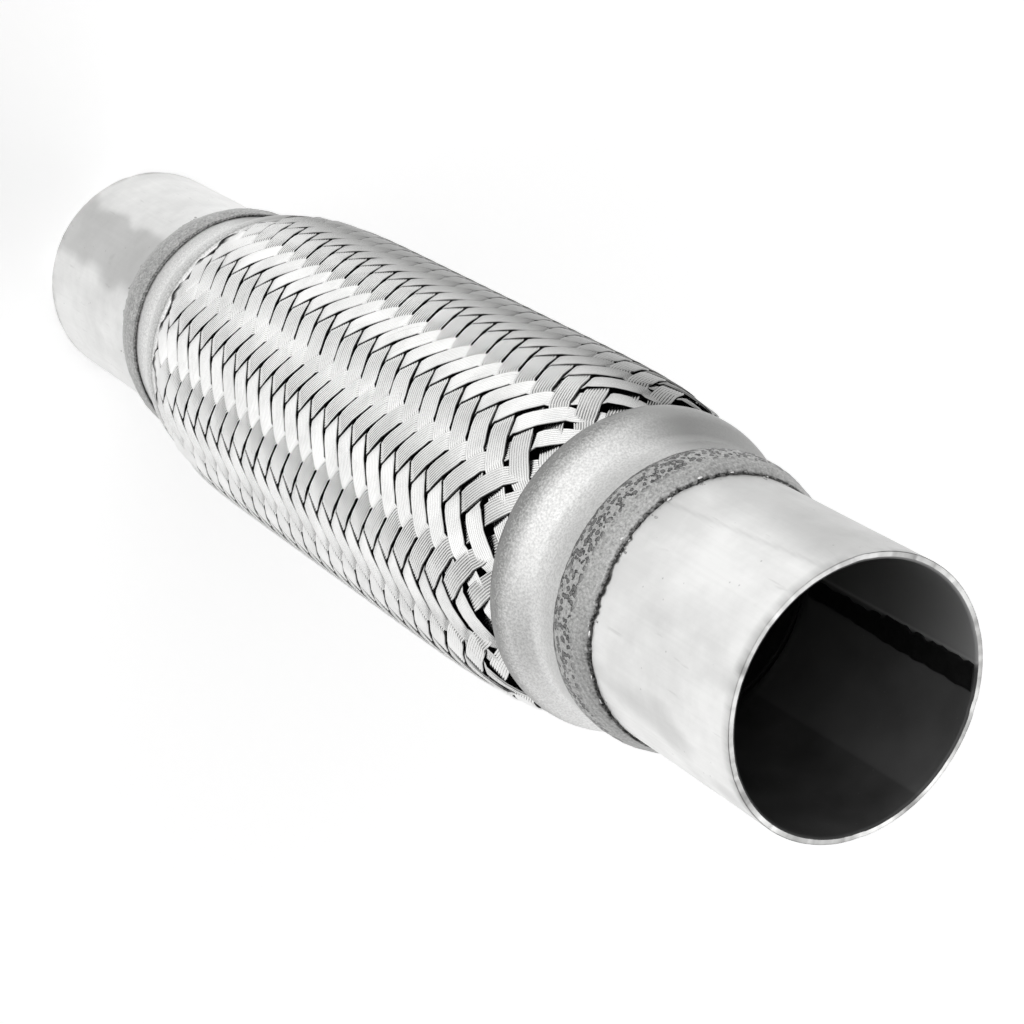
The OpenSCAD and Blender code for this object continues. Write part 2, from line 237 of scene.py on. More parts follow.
def make_pressed_stainless():
    """Stainless cap: sheet pressed and rolled over in a die.
    The die leaves a fine sandy grain that sparkles, greyer where the lip was rolled hardest and beside the
    weld.
    A dark line is painted at the lip as the shade of the groove where it turns in, and shade is painted on
    one flank."""
    made, tree, place = start_material("pressed_stainless_steel")
    # The grain is about 0.1 mm on the real sheet and is drawn at 0.45 mm so that it shows
    grain = add(tree, "TexNoise", {"Vector": place, "Scale": per_mm(0.45), "Detail": 3.0, "Roughness": 0.65})
    clouds = add(tree, "TexNoise", {"Vector": place, "Scale": per_mm(12), "Detail": 4.0})
    grainy = add(tree, "ValToRGB", {"Fac": grain.outputs["Fac"]})
    grainy.color_ramp.elements[0].position = 0.37
    grainy.color_ramp.elements[0].color = colour("#D6D6D5")
    grainy.color_ramp.elements[1].position = 0.62
    grainy.color_ramp.elements[1].color = colour("#FFFFFE")
    clouded = add(tree, "MapRange", {"Value": clouds.outputs["Fac"], "From Min": 0.4, "From Max": 0.65,
                                     "To Min": 0.0, "To Max": 0.2})
    toned = add(tree, "Mix", {0: clouded.outputs[0], 6: grainy.outputs[0], 7: colour("#CFCFCE")},
                data_type="RGBA")
    # Wear on the lip, and a dark line painted as the shade of the groove where it turns in
    lip = add(tree, "Attribute", attribute_name="wear_and_groove_shade").outputs["Fac"]
    speckle = add(tree, "MapRange", {"Value": grain.outputs["Fac"], "From Min": 0.38, "From Max": 0.62,
                                     "To Min": 1.35, "To Max": 0.8})
    wear_and_groove_shade = add(tree, "Math", {0: lip, 1: speckle.outputs[0]}, operation="MULTIPLY")
    rolled = add(tree, "Mix", {0: wear_and_groove_shade.outputs[0], 6: toned.outputs[2], 7: colour("#8E8E8D")},
                 data_type="RGBA")
    # Greyer beside the weld, and painted shade on one flank
    weld_grey_and_shade = add(tree, "Attribute", attribute_name="weld_grey_and_shade").outputs["Fac"]
    grey_and_shade_share = add(tree, "Math", {0: weld_grey_and_shade, 1: 0.5}, operation="MULTIPLY")
    greyed = add(tree, "Mix", {0: grey_and_shade_share.outputs[0], 6: rolled.outputs[2], 7: colour("#9C9C9B")},
                 data_type="RGBA")
    rough = add(tree, "MapRange", {"Value": grain.outputs["Fac"], "From Min": 0.3, "From Max": 0.7,
                                   "To Min": 0.3, "To Max": 0.48})
    bump = add(tree, "Bump", {"Height": grain.outputs["Fac"], "Strength": 0.25, "Distance": 0.06 * MM})
    finish_material(tree, base_color=greyed.outputs[2], metallic=1.0, roughness=rough.outputs[0],
                    normal=bump.outputs[0])
    return made


def make_weld_steel():
    """Weld bead: steel melted in by an arc along the corner, then left as it froze.
    Dull mid-grey, with slanting drag lines on the tube's half, small islands of dark slag on the cap's
    half and a burnt crust along both edges, darkened further as painted shade in the corners where the bead
    meets tube and cap."""
    made, tree, place = start_material("arc_weld_steel")
    across = add(tree, "Attribute", attribute_name="across").outputs["Fac"]
    mottle = add(tree, "TexNoise", {"Vector": place, "Scale": per_mm(0.5), "Detail": 4.0, "Roughness": 0.65})
    toned = add(tree, "ValToRGB", {"Fac": mottle.outputs["Fac"]})
    toned.color_ramp.elements[0].position = 0.3
    toned.color_ramp.elements[0].color = colour("#8C8C8B")
    toned.color_ramp.elements[1].position = 0.7
    toned.color_ramp.elements[1].color = colour("#D6D6D5")
    wobble = add(tree, "VectorMath", {0: mottle.outputs["Color"], 1: [0.9 * MM] * 3, 2: place},
                 operation="MULTIPLY_ADD")
    islands = add(tree, "TexVoronoi", {"Vector": wobble.outputs[0], "Scale": per_mm(1.05), "Randomness": 1.0})
    shore = add(tree, "MapRange", {"Value": islands.outputs["Distance"], "From Min": 0.52, "From Max": 0.47})
    inland = add(tree, "MapRange", {"Value": islands.outputs["Distance"], "From Min": 0.42, "From Max": 0.3,
                                    "To Min": 1.0, "To Max": 0.62})
    cap_half = add(tree, "MapRange", {"Value": across, "From Min": 0.34, "From Max": 0.46})
    amount = add(tree, "Attribute", attribute_name="slag").outputs["Fac"]
    groups = add(tree, "TexNoise", {"Vector": place, "Scale": per_mm(4), "Detail": 2.0})
    grouped = add(tree, "MapRange", {"Value": groups.outputs["Fac"], "From Min": 0.28, "From Max": 0.4})
    held = add(tree, "Math", {0: cap_half.outputs[0], 1: grouped.outputs[0]}, operation="MULTIPLY")
    spread = add(tree, "Math", {0: held.outputs[0], 1: amount}, operation="MULTIPLY")
    patch = add(tree, "Math", {0: shore.outputs[0], 1: inland.outputs[0]}, operation="MULTIPLY")
    slag = add(tree, "Math", {0: patch.outputs[0], 1: spread.outputs[0]}, operation="MULTIPLY")
    patched = add(tree, "Mix", {0: slag.outputs[0], 6: toned.outputs[0], 7: colour("#444444")},
                  data_type="RGBA")
    # The dark edges are burnt crust and painted shade in the corners beside tube and cap
    at_toe = add(tree, "MapRange", {"Value": across, "From Min": 0.025, "From Max": 0.06,
                                    "To Min": 0.9, "To Max": 0.0})
    at_cap = add(tree, "MapRange", {"Value": across, "From Min": 0.92, "From Max": 0.95, "To Max": 0.75})
    dark_paint = add(tree, "Math", {0: at_toe.outputs[0], 1: at_cap.outputs[0]}, operation="MAXIMUM")
    crust = add(tree, "ValToRGB", {"Fac": mottle.outputs["Fac"]})
    crust.color_ramp.elements[0].position = 0.42
    crust.color_ramp.elements[0].color = colour("#2A2A29")
    crust.color_ramp.elements[1].position = 0.66
    crust.color_ramp.elements[1].color = colour("#A8A8A7")
    edged = add(tree, "Mix", {0: dark_paint.outputs[0], 6: patched.outputs[2], 7: crust.outputs[0]},
                data_type="RGBA")
    rough = add(tree, "MapRange", {"Value": mottle.outputs["Fac"], "From Min": 0.3, "From Max": 0.7,
                                   "To Min": 0.36, "To Max": 0.58})
    bump = add(tree, "Bump", {"Height": mottle.outputs["Fac"], "Strength": 0.4, "Distance": 0.12 * MM})
    finish_material(tree, base_color=edged.outputs[2], metallic=0.9, roughness=rough.outputs[0],
                    normal=bump.outputs[0])
    return made


def make_drawn_wire():
    """Stainless wire, drawn bright through dies and laid side by side in strands.
    Each wire is a smooth bright cylinder, so a strand flashes white one way and greys the other way;
    strands differ a little in tone, and shade is painted on one flank."""
    made, tree, place = start_material("drawn_stainless_wire")
    # The tone carries painted shade on one flank
    tone_and_shade = add(tree, "Attribute", attribute_name="tone_and_shade").outputs["Fac"]
    strand = add(tree, "Mix", {0: tone_and_shade, 6: colour("#7E7E7D"), 7: colour("#F6F6F5")}, data_type="RGBA")
    film = add(tree, "TexNoise", {"Vector": place, "Scale": per_mm(6), "Detail": 4.0})
    greying = add(tree, "MapRange", {"Value": film.outputs["Fac"], "From Min": 0.45, "From Max": 0.75,
                                    "To Min": 0.0, "To Max": 0.3})
    toned = add(tree, "Mix", {0: greying.outputs[0], 6: strand.outputs[2], 7: colour("#BDBDBC")},
                data_type="RGBA")
    # Dark drawing oil and painted shade where a strand runs under others, in the weave's gaps and creases and
    # beside the lower lip
    oil_and_shade = add(tree, "Attribute", attribute_name="oil_and_shade").outputs["Fac"]
    oiled_and_shaded = add(tree, "Mix", {0: oil_and_shade, 6: toned.outputs[2], 7: colour("#161616")}, data_type="RGBA")
    rough = add(tree, "MapRange", {"Value": film.outputs["Fac"], "From Min": 0.3, "From Max": 0.7,
                                   "To Min": 0.16, "To Max": 0.27})
    finish_material(tree, base_color=oiled_and_shaded.outputs[2], metallic=1.0, roughness=rough.outputs[0])
    return made


def make_rolled_sheet():
    """Bellows: thin stainless sheet, rolled into folds and painted near black as the shade under the braid.
    Only seen through the braid, where it reads as near black with dull glints."""
    made, tree, place = start_material("shaded_stainless_sheet")
    film = add(tree, "TexNoise", {"Vector": place, "Scale": per_mm(5), "Detail": 4.0})
    # Near-black tones, painted as shade
    toned = add(tree, "ValToRGB", {"Fac": film.outputs["Fac"]})
    toned.color_ramp.elements[0].color = colour("#141414")
    toned.color_ramp.elements[1].color = colour("#2E2E2E")
    rough = add(tree, "MapRange", {"Value": film.outputs["Fac"], "To Min": 0.35, "To Max": 0.6})
    finish_material(tree, base_color=toned.outputs[0], metallic=0.8, roughness=rough.outputs[0])
    return made


def make_folded_strip():
    """Interlock liner: stainless strip folded and wound on itself, dull from the rollers."""
    made, tree, place = start_material("wound_stainless_strip")
    film = add(tree, "TexNoise", {"Vector": place, "Scale": per_mm(4), "Detail": 4.0})
    toned = add(tree, "ValToRGB", {"Fac": film.outputs["Fac"]})
    toned.color_ramp.elements[0].color = colour("#3C3C3C")
    toned.color_ramp.elements[1].color = colour("#666665")
    rough = add(tree, "MapRange", {"Value": film.outputs["Fac"], "To Min": 0.35, "To Max": 0.55})
    bump = add(tree, "Bump", {"Height": film.outputs["Fac"], "Strength": 0.1, "Distance": 0.05 * MM})
    finish_material(tree, base_color=toned.outputs[0], metallic=0.9, roughness=rough.outputs[0],
                    normal=bump.outputs[0])
    return made


def make_studio_paper():
    """White paper sweep: matt and pale; the camera and the metal see it lifted to white,
    and it still takes the pipe's soft shadow."""
    made, tree, place = start_material("white_studio_paper")
    fibres = add(tree, "TexNoise", {"Vector": place, "Scale": per_mm(2), "Detail": 3.0})
    toned = add(tree, "Mix", {0: fibres.outputs["Fac"], 6: colour("#EDEDED"), 7: colour("#F2F2F2")},
                data_type="RGBA")
    matt = add(tree, "BsdfDiffuse", {"Color": toned.outputs[2]})
    path = add(tree, "LightPath")
    seen = add(tree, "Math", {0: path.outputs["Is Camera Ray"], 1: path.outputs["Is Glossy Ray"]},
               operation="MAXIMUM")
    seen = add(tree, "Math", {0: seen.outputs[0], 1: path.outputs["Is Transmission Ray"]},
               operation="MAXIMUM")
    lift = add(tree, "Math", {0: seen.outputs[0], 1: PAPER_LIFT}, operation="MULTIPLY")
    glow = add(tree, "Emission", {"Color": colour("#FFFFFF"), "Strength": lift.outputs[0]})
    both = add(tree, "AddShader", {0: matt.outputs[0], 1: glow.outputs[0]})
    add(tree, "OutputMaterial", {"Surface": both.outputs[0]})
    return made


# Tools for meshes

def piece(name, points, faces, materials, replaces, smooth=True, marks=None, sharp=None):
    """Makes a mesh piece from points in millimetres, lets it ride on the pipe and stand for a CAD node.
    Faces are (points, material number) pairs of arrays; marks are values painted on the points."""
    mesh = bpy.data.meshes.new(name)
    corners = np.concatenate([f.reshape(-1) for f, _ in faces]).astype(np.int32)
    sizes = np.concatenate([np.full(len(f), f.shape[1]) for f, _ in faces]).astype(np.int32)
    slots = np.concatenate([np.full(len(f), number) for f, number in faces]).astype(np.int32)
    mesh.vertices.add(len(points))
    mesh.vertices.foreach_set("co", (np.asarray(points) * MM).astype(np.float32).reshape(-1))
    mesh.loops.add(len(corners))
    mesh.loops.foreach_set("vertex_index", corners)
    mesh.polygons.add(len(sizes))
    mesh.polygons.foreach_set("loop_start", np.concatenate([[0], np.cumsum(sizes)[:-1]]).astype(np.int32))
    mesh.polygons.foreach_set("loop_total", sizes)
    mesh.polygons.foreach_set("material_index", slots)
    mesh.update(calc_edges=True)
    mesh.polygons.foreach_set("use_smooth", np.full(len(sizes), smooth))
    for mark, values in (marks or {}).items():
        layer = mesh.attributes.new(mark, "FLOAT", "POINT")
        layer.data.foreach_set("value", np.asarray(values, np.float32).reshape(-1))
    if sharp is not None:
        ends = np.zeros(len(mesh.edges) * 2, np.int32)
        mesh.edges.foreach_get("vertices", ends)
        ends = ends.reshape(-1, 2)
        layer = mesh.attributes.new("sharp_edge", "BOOLEAN", "EDGE")
        layer.data.foreach_set("value", sharp[ends[:, 0]] & sharp[ends[:, 1]])
    for one in materials:
        mesh.materials.append(one)
    made = bpy.data.objects.new(name, mesh)
    bpy.context.scene.collection.objects.link(made)
    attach(made, "root")
    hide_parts(*replaces)


def grid_faces(rows, columns, wrap_rows, wrap_columns):
    """Quads of a grid of points that is numbered row by row."""
    i = np.arange(rows if wrap_rows else rows - 1)
    j = np.arange(columns if wrap_columns else columns - 1)
    i, j = [a.reshape(-1) for a in np.meshgrid(i, j, indexing="ij")]
    next_i = (i + 1) % rows
    next_j = (j + 1) % columns
    here, beyond = i * columns, next_i * columns
    return np.stack([here + j, beyond + j, beyond + next_j, here + next_j], 1)


# Waves that are added up in one pattern of swells
SWELL_COUNT = 24


def swells(turn, along, length, seed):
    """Gentle unevenness from about -1 to 1 that closes round the pipe; its shortest swell is length mm."""
    chance = np.random.default_rng(seed)
    total = 0
    for _ in range(SWELL_COUNT):
        size = length * chance.uniform(1, 4)
        heading = chance.uniform(0, FULL_TURN)
        times_round = round(FULL_TURN * TUBE_R * math.cos(heading) / size)
        climb = FULL_TURN * math.sin(heading) / size
        total = total + np.cos(times_round * turn + climb * along + chance.uniform(0, FULL_TURN))
    return total / math.sqrt(SWELL_COUNT)


def turned(name, outline, around, materials, replaces, number=None, uneven=None, marks=None):
    """A ring turned about the pipe's axis. The closed outline runs anticlockwise in (radius, height)."""
    outline = np.asarray(outline, float)
    turn = np.linspace(0, FULL_TURN, around, endpoint=False)[:, None]
    r = np.repeat(outline[None, :, 0], around, 0)
    z = np.repeat(outline[None, :, 1], around, 0)
    if uneven:
        r, z = uneven(turn, r, z)
    points = np.stack([r * np.cos(turn), r * np.sin(turn), z], 2).reshape(-1, 3)
    faces = grid_faces(around, len(outline), True, True)
    numbers = np.tile(np.zeros(len(outline), int) if number is None else number, around)
    groups = [(faces[numbers == k], k) for k in np.unique(numbers)]
    painted = {}
    for mark, values in (marks or {}).items():
        values = values(turn, z) if callable(values) else values
        painted[mark] = np.broadcast_to(values, r.shape).reshape(-1)
    piece(name, points, groups, materials, replaces, marks=painted)


def arc(centre, radius, start, stop, count):
    """Points along an arc in (radius, height); angles in radians."""
    angles = np.linspace(start, stop, count)
    return np.stack([centre[0] + radius * np.cos(angles), centre[1] + radius * np.sin(angles)], 1)


def ease(value, start, stop):
    """Runs smoothly from 0 at start to 1 at stop."""
    t = np.clip((value - start) / (stop - start), 0, 1)
    return t * t * (3 - 2 * t)


def from_front(turn):
    """Degrees round the pipe from its front, positive towards X."""
    return (np.degrees(turn) - 90) % 360 - 180


# Degrees from the front between which the painted shade on one flank fades out towards the back
BACK_FADE = (-160, -110)


def shaded_flank(front, start, stop):
    """Painted shade: 1 on the flank away from X; it fades out from start to stop towards the front, and
    before the back.
    """
    return (1 - ease(front, start, stop)) * ease(front, *BACK_FADE)


# End tubes

INNER_RIM_R = 0.5
OUTER_RIM_R = 0.15
# Points round a tube, and rows of points along its inside and its outside
TUBE_AROUND = 320
BORE_ROWS = 20
SKIN_ROWS = 24


def make_tube(node, foot, mouth, seed, aluminised, shaded_bore, tarnish_and_shade):
    """A rolled tube from its hidden foot to its mouth, whose edges are a little worn.
    The tarnish and painted shade are given by the degrees from the front, plain and wavering, and the height."""
    way = 1 if mouth > foot else -1
    inner = (BORE_R + INNER_RIM_R, mouth - way * INNER_RIM_R)
    outer = (TUBE_R - OUTER_RIM_R, mouth - way * OUTER_RIM_R)
    inside = np.linspace((BORE_R, foot), (BORE_R, inner[1]), BORE_ROWS)
    rim_in = arc(inner, INNER_RIM_R, math.pi, math.pi - way * math.pi / 2, 5)[1:]
    rim_out = arc(outer, OUTER_RIM_R, way * math.pi / 2, 0, 5)
    outside = np.linspace((TUBE_R, outer[1]), (TUBE_R, foot), SKIN_ROWS)[1:]
    outline = np.concatenate([inside, rim_in, rim_out, outside])
    # The inside's dark paint, which is painted shade, runs on over the inner corner of the rim
    number = np.zeros(len(outline), int)
    number[:len(inside) + len(rim_in) - 1] = 1
    if way > 0:
        # The outline runs clockwise on this tube, so it is turned round
        outline = outline[::-1]
        number = np.roll(number[::-1], -1)

    def uneven(turn, r, z):
        from_mouth = np.abs(z - mouth)
        skin = 0.03 * swells(turn, z, 14, seed)
        nicks = 0.07 * swells(turn, z * 0, 2.2, seed + 1) ** 3
        at_rim = np.exp(-from_mouth / 0.4)
        return r + skin, z - way * at_rim * np.clip(nicks, -0.02, 0.16)

    # Tarnish and painted shade on the skin, and bare grey steel at the cut edge
    def greying(turn, z):
        wavering = from_front(turn) + 3.2 * swells(turn, z, 9, seed + 2)
        # The cut edge has no aluminium on it and shows bare grey steel
        bare = 1.15 + 0.5 * swells(turn, z * 0, 6, seed + 4) + 0.2 * swells(turn, z * 0, 1, seed + 6)
        cut_edge = np.exp(-(np.abs(z - mouth) / 0.3) ** 2) * np.clip(bare, 0.3, 1.9)
        return np.maximum(tarnish_and_shade(from_front(turn), wavering, z), cut_edge)

    def painted_light_and_bare(turn, z):
        # Light is painted as a paler film above the seam, most of all beside the mouth; the film is scraped
        # off in a hairline along the seam, and is thicker on one side of a faint line
        degrees = from_front(turn) % 360
        past_seam = ease(degrees, 216, 222) * (1 - ease(degrees, 280, 330))
        beside_line = ease(degrees, 159, 160) * (1 - ease(degrees, 206, 209))
        hairline = 0.5 * np.exp(-((degrees - 219.4) / 0.7) ** 2)
        return past_seam * (0.3 + 0.7 * np.exp(-np.abs(z - mouth) / 16)) + 0.1 * beside_line + hairline

    turned(node + "_rolled", outline, TUBE_AROUND, [aluminised, shaded_bore], [node], number, uneven,
           {"tarnish_and_shade": greying, "painted_light_and_bare": painted_light_and_bare})


def upper_marks_and_shade(front, wavering, z):
    """Painted shade on one flank, reaching further beside the weld, a scratch, and soft blotches on the other
    flank.
    """
    flank_shade = shaded_flank(wavering, -56, -28)
    by_weld = np.exp(-(z - UPPER_TOE) / 6) * shaded_flank(wavering, -30, 10)
    scratch = np.exp(-((front - np.interp(z, [UPPER_TOE, OVERALL], [-28, -37])) / 0.9) ** 2)
    low_side = ease(front, -10, 25) * (1 - ease(front, 70, 110))
    blotches = np.clip(swells(np.radians(front), z, 7, 61), 0, 1.5) * low_side
    return np.maximum(0.95 * flank_shade, 0.6 * by_weld) + 0.35 * scratch + 0.35 * blotches + 0.12 * low_side


def lower_grey_and_shade(front, wavering, z):
    """Painted shade as a grey band along the front, on a tube that is a little greyer all round."""
    return 0.33 + 0.67 * ease(wavering, -22, -15) * (1 - ease(wavering, 8, 18))


SEAM_TURN = math.radians(123)
# Rows of points along the seam, and places along it where its width is drawn by chance
SEAM_ROWS = 160
SEAM_KNOTS = 34


def make_seam(dark_paint):
    """A ragged strip along the upper tube's bore at its seam, painted black as the seam's shadow."""
    heights = np.linspace(UPPER_FOOT + 2, OVERALL - 0.6, SEAM_ROWS)
    chance = np.random.default_rng(11)
    knots = np.linspace(heights[0], heights[-1], SEAM_KNOTS)
    narrowing = 0.7 + 0.3 * ease(knots, knots[0] + 6, knots[0] + 34)
    left = np.interp(heights, knots, narrowing * (2.9 + chance.normal(0, 0.16, SEAM_KNOTS)))
    right = np.interp(heights, knots, narrowing * (2.4 + chance.normal(0, 0.38, SEAM_KNOTS)))
    lift = np.interp(heights, knots, 0.34 + chance.normal(0, 0.05, SEAM_KNOTS))
    # Shares of the half-width across the strip, and of its height at them
    shares = np.array([-1.0, -0.96, -0.7, -0.2, 0.3, 0.75, 0.97, 1.0])
    rise = np.array([-0.05, 0.7, 0.95, 0.8, 1.0, 0.85, 0.75, -0.05])
    side = np.where(shares[None, :] < 0, left[:, None], right[:, None]) * shares[None, :]
    r = BORE_R - lift[:, None] * rise[None, :]
    turn = SEAM_TURN + side / BORE_R
    z = np.repeat(heights[:, None], len(shares), 1)
    points = np.stack([r * np.cos(turn), r * np.sin(turn), z], 2).reshape(-1, 3)
    faces = grid_faces(SEAM_ROWS, len(shares), False, True)[:, ::-1]
    first = np.arange(len(shares))[None, :]
    last = first[:, ::-1] + (SEAM_ROWS - 1) * len(shares)
    groups = [(faces, 0), (first, 0), (last, 0)]
    piece("upper_tube_seam", points, groups, [dark_paint], ["upper_tube"])


# End caps

CAP_AROUND = 240
LIP_EDGE = CAP_SHEET / 2
LIP_IN_R = LIP_R - FLARE_SHOULDER_R + (FLARE_SHOULDER_R - LIP_EDGE) * math.cos(LIP_CURL) - LIP_EDGE


def make_cap(node, neck_edge, lip, stainless, lip_wear, edge_wear):
    """A pressed cap, from its neck's edge through the flare to its rolled lip.
    Wear may dull the lip's shoulder and, by itself, its very edge."""
    way = 1 if lip > neck_edge else -1
    flare_rise = LIP_R - NECK_R
    curves = FLARE_FOOT_R + FLARE_SHOULDER_R
    slant = (flare_rise - curves * (1 - math.cos(FLARE_ANGLE))) / math.sin(FLARE_ANGLE)
    run = curves * math.sin(FLARE_ANGLE) + slant * math.cos(FLARE_ANGLE)
    length = abs(lip - neck_edge)
    neck = length - run - (FLARE_SHOULDER_R - LIP_EDGE) * math.sin(LIP_CURL) - LIP_EDGE

    def side(inset, count):
        straight = np.linspace((NECK_R - inset, 0), (NECK_R - inset, neck), count)[:-1]
        foot = arc((NECK_R + FLARE_FOOT_R, neck), -(FLARE_FOOT_R + inset), 0, -FLARE_ANGLE, count)
        shoulder = arc((LIP_R - FLARE_SHOULDER_R, neck + run), FLARE_SHOULDER_R - inset, -FLARE_ANGLE,
                       LIP_CURL, 2 * count)
        return np.concatenate([straight, foot, shoulder])

    edge = arc((LIP_IN_R + LIP_EDGE, length - LIP_EDGE), LIP_EDGE, LIP_CURL, LIP_CURL + math.pi, 11)[1:-1]
    outline = np.concatenate([side(0, 10), edge, side(CAP_SHEET, 3)[::-1]])
    outline[:, 1] = neck_edge + way * outline[:, 1]
    if way < 0:
        outline = outline[::-1]

    def wear_and_groove_shade(turn, z):
        from_neck = np.abs(z - neck_edge)
        # A dark line is painted as the shade of the groove where the die's edge rolled the lip in
        rolled_in = 0.7 * np.exp(-((from_neck - (length - 1.6)) / 0.4) ** 2)
        shoulder = lip_wear * ease(from_neck, length - 8.5, length - 1.5)
        edge = ease(from_neck, length - 1.2, length - 0.8)
        return np.maximum(shoulder, rolled_in) * (1 - edge) + edge_wear * edge

    # Greyer beside the weld, and painted shade on one flank
    def weld_grey_and_shade(turn, z):
        by_weld = 1 - ease(np.abs(z - neck_edge), 6, 15)
        return np.maximum(by_weld, 2.0 * shaded_flank(from_front(turn), -66, -30))

    def uneven(turn, r, z):
        dents = 0.04 * swells(turn, z, 9, 40 + way)
        wander = 0.12 * swells(turn, z * 0, 30, 50 + way)
        near_lip = np.exp(-np.abs(z - lip) / 3)
        return r + dents * (1 - near_lip), z + way * near_lip * (wander - 0.1)

    turned(node + "_pressed", outline, CAP_AROUND, [stainless], [node], None, uneven,
           {"wear_and_groove_shade": wear_and_groove_shade, "weld_grey_and_shade": weld_grey_and_shade})


# Weld beads

# Points round a bead and across its top, and drops of spatter beside it
WELD_AROUND = 600
WELD_ACROSS = 33
DROPS = 80


def make_weld(node, toe, way, seed, weld_steel, slag):
    """A bead that fills the corner between tube and cap, lumpy and with ragged edges, under some slag."""
    low, high = box_mm(node)
    wide = high[2] - low[2]
    t = np.linspace(0, 1, WELD_ACROSS)
    top = np.stack([TUBE_R + WELD_EDGE + (NECK_R - TUBE_R) * t + 4 * WELD_CROWN * t * (1 - t), wide * t], 1)
    root = np.array([[TUBE_R - 0.1, 0], [TUBE_R - 0.1, WELD_ON_TUBE], [NECK_R - 0.1, WELD_ON_TUBE],
                     [NECK_R - 0.1, wide]])
    outline = np.concatenate([root[::-1], top])
    across = np.concatenate([[1, 0.5, 0.5, 0], t])
    outline[:, 1] = toe + way * outline[:, 1]
    if way < 0:
        outline = outline[::-1]
        across = across[::-1]

    def uneven(turn, r, z):
        share = across[None, :]
        on_top = (r > np.where(share < 0.5, TUBE_R + 0.05, NECK_R + 0.05)).astype(float)
        crown = np.clip(4 * share * (1 - share), 0, 1)
        lumps = 0.07 * swells(turn, z, 2.2, seed) + 0.1 * swells(turn, z, 8, seed + 1)
        drag = 0.05 * np.cos(36 * turn + 5 * way * (z - toe)) * np.clip(1.6 - 2.0 * share, 0, 1)
        ragged = 0.3 * swells(turn, z * 0, 0.9, seed + 2) + 0.35 * swells(turn, z * 0, 7, seed + 3)
        at_toe = np.exp(-share / 0.09)
        at_cap = np.exp(-(1 - share) / 0.05)
        r = r + on_top * crown ** 0.5 * (lumps + drag)
        z = z + way * (at_toe * np.clip(ragged, -0.9, 0.9) + 0.25 * at_cap * ragged) * on_top
        return r, z

    turned(node + "_bead", outline, WELD_AROUND, [weld_steel], [node], None, uneven,
           {"across": across, "slag": slag})


def make_spatter(node, toe, way, seed, weld_steel, bright):
    """Drops of weld metal that froze on the tube beside the toe of the bead.
    Every second one is a bright fleck of the tube's skin, thrown up along the toe."""
    chance = np.random.default_rng(seed)
    lat = np.linspace(0, math.pi, 7)
    lon = np.linspace(0, FULL_TURN, 10, endpoint=False)
    unit = np.stack([np.outer(np.sin(lat), np.cos(lon)), np.outer(np.sin(lat), np.sin(lon)),
                     np.outer(np.cos(lat), np.ones(len(lon)))], 2).reshape(-1, 3)
    points, groups, count = [], [], 0
    for k in range(DROPS):
        fleck = k % 2
        turn = chance.uniform(0, FULL_TURN)
        away = chance.normal(-0.5, 0.35) if fleck else abs(chance.normal(0, 1.3)) + 0.1
        size = chance.uniform(0.14, 0.3)
        shape = np.array([0.6, chance.uniform(0.7, 3.2) if fleck else 1.0, chance.uniform(0.8, 1.6)]) * size
        drop = unit * shape * chance.uniform(0.85, 1.15, (len(unit), 1))
        centre = TUBE_R + 0.1 * size + max(0, -0.75 * away)
        x = centre + drop[:, 0]
        y = drop[:, 1]
        points.append(np.stack([x * math.cos(turn) - y * math.sin(turn),
                                x * math.sin(turn) + y * math.cos(turn),
                                toe - way * away + drop[:, 2]], 1))
        groups.append((grid_faces(len(lat), len(lon), False, True) + count, fleck))
        count += len(unit)
    plain = np.zeros(count)
    piece(node + "_spatter", np.concatenate(points), groups, [weld_steel, bright], [node],
          marks={"across": np.full(count, 0.3), "slag": plain, "tarnish_and_shade": plain})


# Braid

# Strands each way, half-steps round the pipe and rows of crossings from lip to lip, as in the CAD model
STRANDS = 24
STEPS = 2 * STRANDS
ROWS = 49
# Rows lie further apart beside the lips: by this share at a lip, fading over this share of the length
END_STRETCH = 0.4
END_FADE = 0.04
# Lengths over which the braid swells out of the lips, with a short step first at the lower one
UPPER_SWELL = 8.0
LOWER_SWELL = 7.0
LOWER_STEP = 1.7
LOWER_STEP_RUN = 0.8
LIP_TOP_R = LIP_IN_R - 0.15
# Rows that a strand runs on under a lip, and its fall there for each millimetre
TUCK_ROWS = 1.5
TUCK_SLOPE = 0.36
# A real strand has more and finer wires, which wouldn't show
WIRES = 8
WIRE_VALLEY = 0.31
# A strand's width, as a share of the spacing and at most, how much it is nipped, its depth, and how far
# it drops under others
STRAND_SHARE = 0.9
STRAND_MAX = 4.75
STRAND_NIP = 0.3
STRAND_DEEP = 0.42
CROSS_DROP = 0.95
# Length beside the upper lip over which the weave is open, places on a strand where two wires stand apart,
# and height over the lower lip that is painted dark, as oil and shade in the crevice under the lip
OPEN_WEAVE = 22
SPLITS = 3
LIP_SHADE = 3.2
# Places along a strand where its chances are drawn
STRAND_KNOTS = 40
# Rows from the middle of a dive at which a strand is drawn, close together where it bends
DIVE_STEPS = np.array([-0.6, -0.28, -0.07, 0.07, 0.28, 0.6, 1.0])
# Points over one round wire: the share of its width, and the drop from its top as a share of the valley's
WIRE_SHARES = (0, 0.146, 0.5, 0.854)
WIRE_DROPS = (1, 0.293, 0, 0.293)


def row_height(q):
    """Height of row q of the crossings; rows near the lips lie further apart."""
    t = q / ROWS
    inside = np.clip(t, 0, 1)
    tail = math.exp(-1 / END_FADE)
    pull = END_STRETCH * END_FADE
    stretched = inside + pull * (1 - np.exp(-inside / END_FADE) + np.exp((inside - 1) / END_FADE) - tail)
    whole = 1 + pull * (2 - 2 * tail)
    past = (t - inside) * (1 + END_STRETCH)
    return LOWER_LIP + (UPPER_LIP - LOWER_LIP) * (stretched + past) / whole


